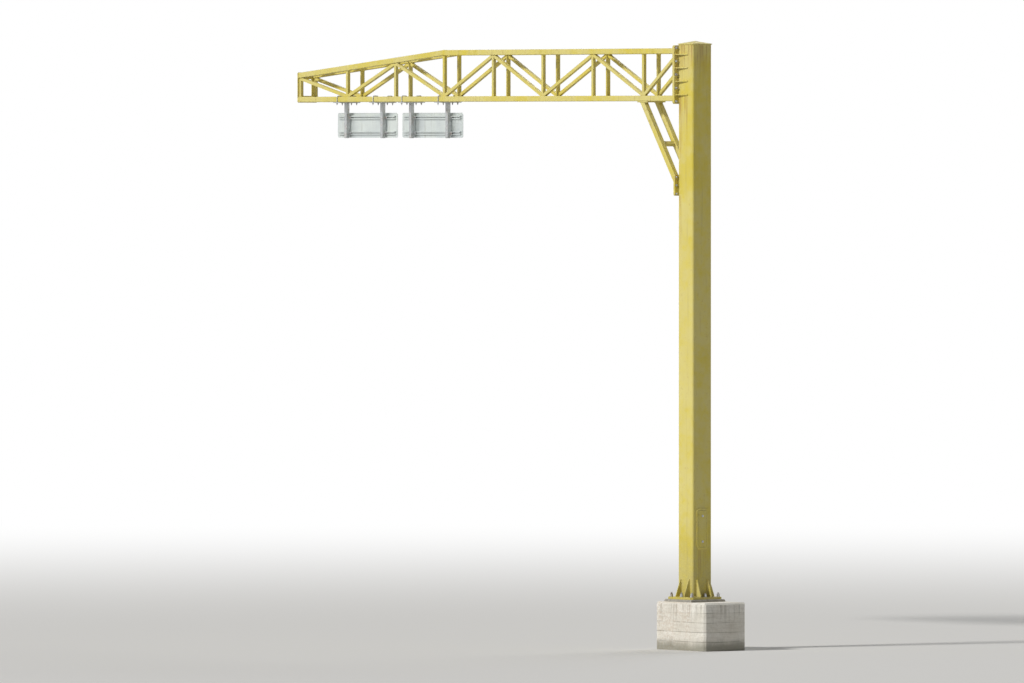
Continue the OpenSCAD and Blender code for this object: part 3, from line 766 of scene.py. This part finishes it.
def weld_feet(shell, place, feet, half, reach, leg):
    """Welds round the feet of bars on a chord's face, as one run where feet touch.
    Each foot is its place along the chord and the direction in which its bar leaves."""
    spans = []
    for spot, lean in sorted(feet, key=lambda foot: foot[0] - half / foot[1].z):
        spread = half / lean.z
        if spans and spot - spread < spans[-1][1]:
            spans[-1][1] = max(spans[-1][1], spot + spread)
            spans[-1][2].append(lean)
        else:
            spans.append([spot - spread, spot + spread, [lean]])
    spin = place.to_3x3()
    for low, high, leans in spans:
        leans.sort(key=lambda lean: lean.x)
        stations = []
        for quarter, (sx, sy) in enumerate(((1, -1), (1, 1), (-1, 1), (-1, -1))):
            end, lean = (high, leans[-1]) if sx > 0 else (low, leans[0])
            for k in range(3):
                out = spun(math.tau * (quarter - 1 + k / 2) / 4)
                if 0 < end < reach or abs(out.x) < 0.01:
                    corner = Vector((min(max(end, 0), reach), sy * half, 0))
                    stations.append((place @ corner, spin @ out, spin @ lean))
        if low <= 0:
            stations = stations[-1:] + stations[:-1]
        if high >= reach:
            stations = stations[1:] + stations[:1]
        weld(shell, stations, leg, low > 0 and high < reach)


def weld_forks(shell, place, feet, half, leg):
    """Welds where the bars of one foot part: across the fork, and down the joint on both faces."""
    spin = place.to_3x3()
    groups = {}
    for spot, lean in feet:
        groups.setdefault(round(spot, 3), []).append(lean)
    for spot, leans in groups.items():
        leans.sort(key=lambda lean: lean.x)
        for left, right in zip(leans, leans[1:]):
            fork = (left + right) * half / (right.x * left.z - left.x * right.z)
            root = half * ((abs(left.x) < 0.01) - (abs(right.x) < 0.01))
            ends = [Vector((spot + fork.x, side * half, fork.z)) for side in (-1, 1)]
            seam(shell, place @ ends[0], place @ ends[1], spin @ left, spin @ right, leg)
            for end in ends:
                start = place @ Vector((spot + root, end.y, 0))
                out = spin @ Vector((0, math.copysign(1, end.y), 0))
                across = out.cross(place @ end - start).normalized()
                weld(shell, [(start, out, across), (place @ end, out, across)], 0.8 * leg, section=butt)


def foot(place, start, end):
    """A bar's foot in a chord face's own frame, from its two ends in the object's frame."""
    back = place.inverted()
    here = back @ start
    return here.x, (back @ end - here).normalized()


web_half, web_leg, fork_leg = 0.02, 0.006, 0.005


def bar_ends(y):
    """The work points of the posts and diagonals of a side, on the chords' inner faces."""
    def low(u):
        return Vector((root_x - u, y, lower_high.z))

    def high(u):
        return Vector((root_x - u, y, upper_low.z - max(0, u - kink) * math.tan(slope)))

    bars = [(low(u), high(u)) for u in work_points[1:-1] + [boom_len - web_half]]
    for i, (u, v) in enumerate(zip(work_points, work_points[1:])):
        bars.append((low(v), high(u)) if i % 2 == 0 else (low(u), high(v)))
    return bars


web_welds = Shell()
for y in (-chord_y, chord_y):
    faces = chord_faces(y)
    feet = [[], [], []]
    for low_end, high_end in bar_ends(y):
        upper = 1 if root_x - high_end.x <= kink + 0.001 else 2
        feet[0].append(foot(faces[0], low_end, high_end))
        feet[upper].append(foot(faces[upper], high_end, low_end))
    for place, landings in zip(faces, feet):
        weld_forks(web_welds, place, landings, web_half, fork_leg)
    for place, landings, reach in zip(faces, feet, (boom_len, kink, rake_len)):
        weld_feet(web_welds, place, landings, web_half, reach, web_leg)
web_welds.piece("web_welds", boom_paint, bead_crease)

lacing_welds = Shell()
laces, lace_half, lace_leg, lace_fork_leg = 3, 0.015, 0.005, 0.004
inner_y = chord_y - chord / 2
bend = len(work_points) - 1 - taper_bays
for side in (-1, 1):
    lower, upper, raked = chord_faces(side * chord_y, Vector((0, -side, 0)))
    for place, points, stretch in ((lower, work_points, 1), (upper, work_points[:bend + 1], 1),
                                   (raked, work_points[bend:], 1 / math.cos(slope))):
        spots = [(point - points[0]) * stretch for point in points]
        feet = [(spot, upward) for spot in spots]
        for i, (low, high) in enumerate(zip(spots, spots[1:])):
            step = (high - low) / laces
            lean = Vector((step, 0, 2 * inner_y)).normalized()
            for k in range(laces):
                lands_here = ((i + k) % 2 == 1) == (side > 0)
                if lands_here:
                    feet.append((low + (k + 1) * step, Vector((-lean.x, 0, lean.z))))
                else:
                    feet.append((low + k * step, lean))
        weld_forks(lacing_welds, place, feet, lace_half, lace_fork_leg)
        weld_feet(lacing_welds, place, feet, lace_half, spots[-1], lace_leg)
lacing_welds.piece("lacing_welds", boom_paint, bead_crease)

chord_welds = Shell()
root_leg, tip_leg, mitre_leg = 0.008, 0.005, 0.006
for y in (-chord_y, chord_y):
    for x, way, heights, leg in ((root_x, -1, (lower_axis, upper_axis), root_leg),
                                 (tip_x, 1, (lower_axis, tip_axis), tip_leg)):
        for z in heights:
            weld(chord_welds, round_tube(at((x, y, z), (way, 0, 0)), chord_r, chord), leg, True)
    mitre = at((root_x - kink, y, upper_axis), (-math.cos(slope / 2), 0, -math.sin(slope / 2)))
    weld(chord_welds, round_tube(mitre, chord_r, chord), mitre_leg, True, butt)
chord_welds.piece("chord_welds", boom_paint, bead_crease)

# Knee braces
# Two square tubes with a tie between them, welded to a plate under the lower chords and to a plate
# that six M16 bolts draw to a seat on the mast.
shoe_low, shoe_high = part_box("knee_foot_plate")
knee_inset, knee_rows = 0.025, 3
knee_y = shoe_high.y - knee_inset
knee_paint = yellow_paint("knee_paint", [
    (seat_high.z, 0.27, seat_low.x, y, 0.05) for y in (-knee_y, knee_y)], flaking=0.75)
dress(knee_paint, *("knee_" + part for part in (
    "seat_plate", "foot_plate", "head_plate", "brace_front", "brace_back", "tie_bar")))
knee_z = spaced(shoe_low.z, shoe_high.z, knee_inset, knee_rows)
bolt_columns("knee_bolts", knee_z, knee_y, shoe_low.x, seat_high.x,
             (0.008, 0.024, 0.01, 0.013), (0.004, 0.008))

knee_welds = Shell()
head_low, head_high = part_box("knee_head_plate")
brace_side, tie_side, brace_leg, tie_leg, head_leg = 0.07, 0.05, 0.007, 0.006, 0.006
brace_foot = Vector((shoe_low.x, 0, (shoe_low.z + shoe_high.z) / 2))
brace_head = Vector(((head_low.x + head_high.x) / 2, 0, head_low.z))
brace_axis = (brace_head - brace_foot).normalized()
for y in (-chord_y, chord_y):
    shift = Vector((0, y, 0))
    for place, length, leaves in (
            (stood(brace_foot + shift, upward, to_tip), brace_side / -brace_axis.x, brace_axis),
            (stood(brace_head + shift, -to_tip, upward), brace_side / brace_axis.z, -brace_axis)):
        stations = round_tube(place, chord_r, length, brace_side)
        weld(knee_welds, [(spot, out, leaves) for spot, out, _ in stations], brace_leg, True)
    inward = Vector((0, -math.copysign(1, y), 0))
    tie_end = (brace_foot + brace_head) / 2 + shift + inward * brace_side / 2
    tie_foot = round_tube(stood(tie_end, brace_axis, inward), chord_r / 2, tie_side)
    weld(knee_welds, tie_foot, tie_leg, True)
for side in (-1, 1):
    groove_seam(knee_welds, seat_low, seat_high, side, 0.003, 0.013)
end_seams(knee_welds, seat_low, seat_high, 0.008)
for x, out in ((head_low.x, -1), (head_high.x, 1)):
    for y in (-chord_y, chord_y):
        seam(knee_welds, (x, y - chord / 2 + chord_r, head_high.z), (x, y + chord / 2 - chord_r, head_high.z),
             (out, 0, 0), (0, 0, -1), head_leg)
knee_welds.piece("knee_welds", knee_paint, bead_crease)

# Saddles and hangers
# Galvanised plates drawn up under the lower chords by U-bolts of 12 mm bar, with a square post
# welded below each. The posts' lower ends are closed by black rubber plugs.
hanger_zinc = zinc_finish("hanger_zinc", 0.3)
dress(hanger_zinc, "hanger_saddles", "hanger_posts")
saddle_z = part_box("hanger_saddles")[0].z
post_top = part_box("hanger_posts")[1].z
hanger_inset, post_side, post_r, post_leg = 0.26, 0.05, 0.005, 0.006
panels = [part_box("inner_sign_panel"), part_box("outer_sign_panel")]
hanger_x = [x for low, high in panels for x in (high.x - hanger_inset, low.x + hanger_inset)]
rod, rod_pitch, rod_bend, leg_gap = 0.006, 0.00175, 0.018, 0.001
rod_washer, rod_nut = (0.012, 0.0058, 0.0025), (0.018, 0.0108, 0.0057)
leg_y = chord / 2 + leg_gap + rod


def rounded(corners, radius, steps=5):
    """A path through corners, with each bend rounded."""
    path = [corners[0]]
    for before, corner, after in zip(corners, corners[1:], corners[2:]):
        back = (before - corner).normalized()
        ahead = (after - corner).normalized()
        for k in range(steps + 1):
            share = k / steps
            path.append(corner + back * radius * (1 - share) ** 2 + ahead * radius * share ** 2)
    return path + [corners[-1]]


def bent_bar(shell, path, section, across):
    """A bar bent in one plane. The section's x lies in that plane, and its y goes across it."""
    rings = []
    for k, spot in enumerate(path):
        ahead = path[min(k + 1, len(path) - 1)] - path[max(k - 1, 0)]
        side = across.cross(ahead).normalized()
        rings.append([spot + point.x * side + point.y * across for point in section])
    shell.loft(rings)


u_bolts = Shell()
rod_section = circle(rod, 0, 14)
rod_top = lower_high.z + leg_gap + rod
rod_end = saddle_z - 0.002
for x in hanger_x:
    for y in (-chord_y, chord_y):
        corners = [Vector((x, y + side * leg_y, z)) for side, z in (
            (-1, rod_end), (-1, rod_top), (1, rod_top), (1, rod_end))]
        bent_bar(u_bolts, rounded(corners, rod_bend), rod_section, -to_tip)
        for side in (-1, 1):
            below = Vector((x, y + side * leg_y, saddle_z))
            nut_on(u_bolts, below, -upward, rod_washer, rod_nut)
            u_bolts.add(*thread(rod, rod_pitch, random.uniform(0.026, 0.03)), at(below, -upward))
u_bolts.piece("u_bolts", bolt_zinc)

hanger_welds = Shell()
for x in hanger_x:
    weld(hanger_welds, round_tube(at((x, 0, post_top), -upward), post_r, post_side), post_leg, True)
hanger_welds.piece("hanger_welds", hanger_zinc, bead_crease)
dress(rubber, "hanger_plugs")

# Sign rails and their clamps
# Extruded aluminium channels with a slot towards the posts. A galvanised strap bent round each
# post holds each rail by two bolts whose square heads sit in the slot.


def aluminium_finish(name, dull):
    """Bare aluminium that has stood outdoors: pale oxide over drawing lines and faint runs,
    with shade painted darker into its corners.
    """
    metal = Finish(name)
    clouds = metal.noise(3.2, 6, 0.6)
    lines = metal.noise(1, 3, 0.5, (3, 3, 700))
    runs = metal.noise(1, 5, 0.6, (30, 30, 1.8))
    fine = metal.noise(150, 4, 0.6)
    oxide = (0.7 * clouds + 0.3 * fine).between(0.38, 0.64)
    dirt = (0.75 * runs + 0.25 * clouds).between(0.53, 0.68)
    # Painted shade: darker deep in corners and between pieces, by ambient occlusion.
    corner = metal.shade_in_corners(0.03).between(0.3, 0.9)
    colour = metal.coats(
        (0.61, 0.66, 0.66),
        (oxide, (0.71, 0.76, 0.74)),
        # Dark coat: dirt runs, and shade painted into corners.
        (0.45 * (dirt + corner).capped(), (0.30, 0.31, 0.27)))
    rough = 0.32 + dull * oxide + 0.15 * dirt
    metallic = 0.72 - 0.4 * oxide - 0.2 * dirt
    return metal.close(colour, rough, 0.3 * lines + 0.3 * fine, 0.00015, metallic, rounding=0.0008)


rail_finish = aluminium_finish("rail_aluminium", 0.2)
dress(rail_finish, "inner_sign_rails", "outer_sign_rails")
rail_low, rail_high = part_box("inner_sign_rails")
rail_h = 0.044
rail_z = [rail_low.z + rail_h / 2, rail_high.z - rail_h / 2]
strap_t, strap_wing, strap_bend = 0.003, 0.03, 0.005
half_t, half_h, edge = strap_t / 2, 0.018, 0.0006
strap_section = [Vector((x, y, 0)) for x, y in (
    (-half_t, edge - half_h), (edge - half_t, -half_h), (half_t - edge, -half_h), (half_t, edge - half_h),
    (half_t, half_h - edge), (half_t - edge, half_h), (edge - half_t, half_h), (-half_t, half_h - edge))]
clamp_washer, clamp_nut = (0.009, 0.0048, 0.0018), (0.016, 0.008, 0.0048)
clamp_r, clamp_pitch, clamp_length = 0.005, 0.0015, 0.0145
head, head_h, head_sink = 0.0075, 0.005, 0.0045
square_head = [[Vector((x, y, h)) for x, y in ((head, head), (-head, head), (-head, -head), (head, -head))]
               for h in (0, head_h)]
near = rail_low.y - half_t
wrap = post_side / 2 + half_t
to_signs = Vector((0, 1, 0))
straps = Shell()
clamp_bolts = Shell()
for x in hanger_x:
    for z in rail_z:
        corners = [Vector((x + dx, y, z)) for dx, y in (
            (-wrap - strap_wing, near), (-wrap, near), (-wrap, -wrap),
            (wrap, -wrap), (wrap, near), (wrap + strap_wing, near))]
        bent_bar(straps, rounded(corners, strap_bend, 4), strap_section, upward)
        for side in (-1, 1):
            spot = Vector((x + side * (wrap + 0.55 * strap_wing), rail_low.y - strap_t, z))
            nut_on(clamp_bolts, spot, -to_signs, clamp_washer, clamp_nut)
            clamp_bolts.add(*thread(clamp_r, clamp_pitch, clamp_length), at(spot, -to_signs))
            clamp_bolts.loft(square_head, at(spot + to_signs * (strap_t + head_sink), to_signs))
straps.piece("rail_straps", hanger_zinc)
clamp_bolts.piece("clamp_bolts", bolt_zinc)

# Sign panels
# Two blank sheets of aluminium, 4 mm thick with round corners, riveted through to the rails. Their
# faces are left bare.
sheet_finish = aluminium_finish("sheet_aluminium", 0.3)
dress(sheet_finish, "inner_sign_panel", "outer_sign_panel")
rivet_pitch, rivet_end = 0.15, 0.075
rivet_dome = [circle(r, h, 16) for r, h in ((0.0048, -0.0003), (0.0048, 0.0005), (0.0043, 0.0015),
                                            (0.003, 0.0022), (0.0013, 0.0025), (0.0011, 0.0019))]
rivets = Shell()
for low, high in panels:
    gaps = round((high.x - low.x - 2 * rivet_end) / rivet_pitch)
    for x in spaced(low.x, high.x, rivet_end, gaps + 1):
        for z in rail_z:
            rivets.loft(rivet_dome, at((x, high.y, z), to_signs))
rivets.piece("sheet_rivets", rail_finish)

# Floor
# A plain pale floor that fades into the white round it. Only the camera and reflections see the
# white, so that it adds no light.
floor_r, floor_sides, fade_near, fade_far = 120, 96, 9, 55
stage = Finish("floor_white")
away = stage.node("VectorMath", {"operation": "LENGTH"}, {0: stage.stretched(1, 1, 0)}, "Value")
share = stage.looked_at() * away.between(fade_near, fade_far)
matt = stage.node("BsdfDiffuse", {}, {"Color": (0.78, 0.775, 0.76)})
white = stage.node("Emission", {}, {"Color": (1, 1, 1), "Strength": 1})
shader = stage.node("MixShader", {}, {0: share, 1: matt, 2: white})
stage.node("OutputMaterial", {}, {"Surface": shader})
floor_mesh = bpy.data.meshes.new("floor")
floor_mesh.from_pydata(circle(floor_r, 0, floor_sides), [], [range(floor_sides)])
floor_mesh.materials.append(stage.material)
floor = placed("floor", floor_mesh)

# Light
# A soft low lamp from the left of the camera lights the sides that face it, a wider and weaker one
# lights the sides that look away, and an even white sky fills the rest.
for name, energy, spread, colour, way in (
        ("key_lamp", 2.5, 9, (1, 0.98, 0.95), (-0.09, -0.87, 0.62)),
        ("back_lamp", 1.15, 40, (0.97, 0.985, 1), (-0.35, 0.85, 0.42))):
    light = bpy.data.lights.new(name, "SUN")
    light.energy = energy
    light.angle = math.radians(spread)
    light.color = colour
    placed(name, light).rotation_euler = Vector(way).to_track_quat("Z", "Y").to_euler()

bpy.context.scene.world = bpy.data.worlds.new("sky")
sky = Finish("sky", bpy.context.scene.world)
fill = sky.node("Background", {}, {"Color": (0.97, 0.985, 1), "Strength": 0.15})
white = sky.node("Background", {}, {"Color": (1, 1, 1), "Strength": 1})
both = sky.node("MixShader", {}, {0: sky.looked_at(), 1: fill, 2: white})
sky.node("OutputWorld", {}, {"Surface": both})

# Camera
# A long lens far off, level with the boom, looks from the mast's side along the boom.
azimuth, elevation = math.radians(53), math.radians(0.9)
distance = 170
frame_width = 13
target = (cad_low + cad_high) / 2
back = Vector((math.sin(azimuth) * math.cos(elevation), -math.cos(azimuth) * math.cos(elevation),
               math.sin(elevation)))
lens = bpy.data.cameras.new("camera")
lens.lens = lens.sensor_width * distance / frame_width
lens.clip_end = 1000
camera = placed("camera", lens)
camera.location = target + back * distance
camera.rotation_euler = back.to_track_quat("Z", "Y").to_euler()
bpy.context.scene.camera = camera
bpy.context.scene.view_settings.view_transform = "Standard"
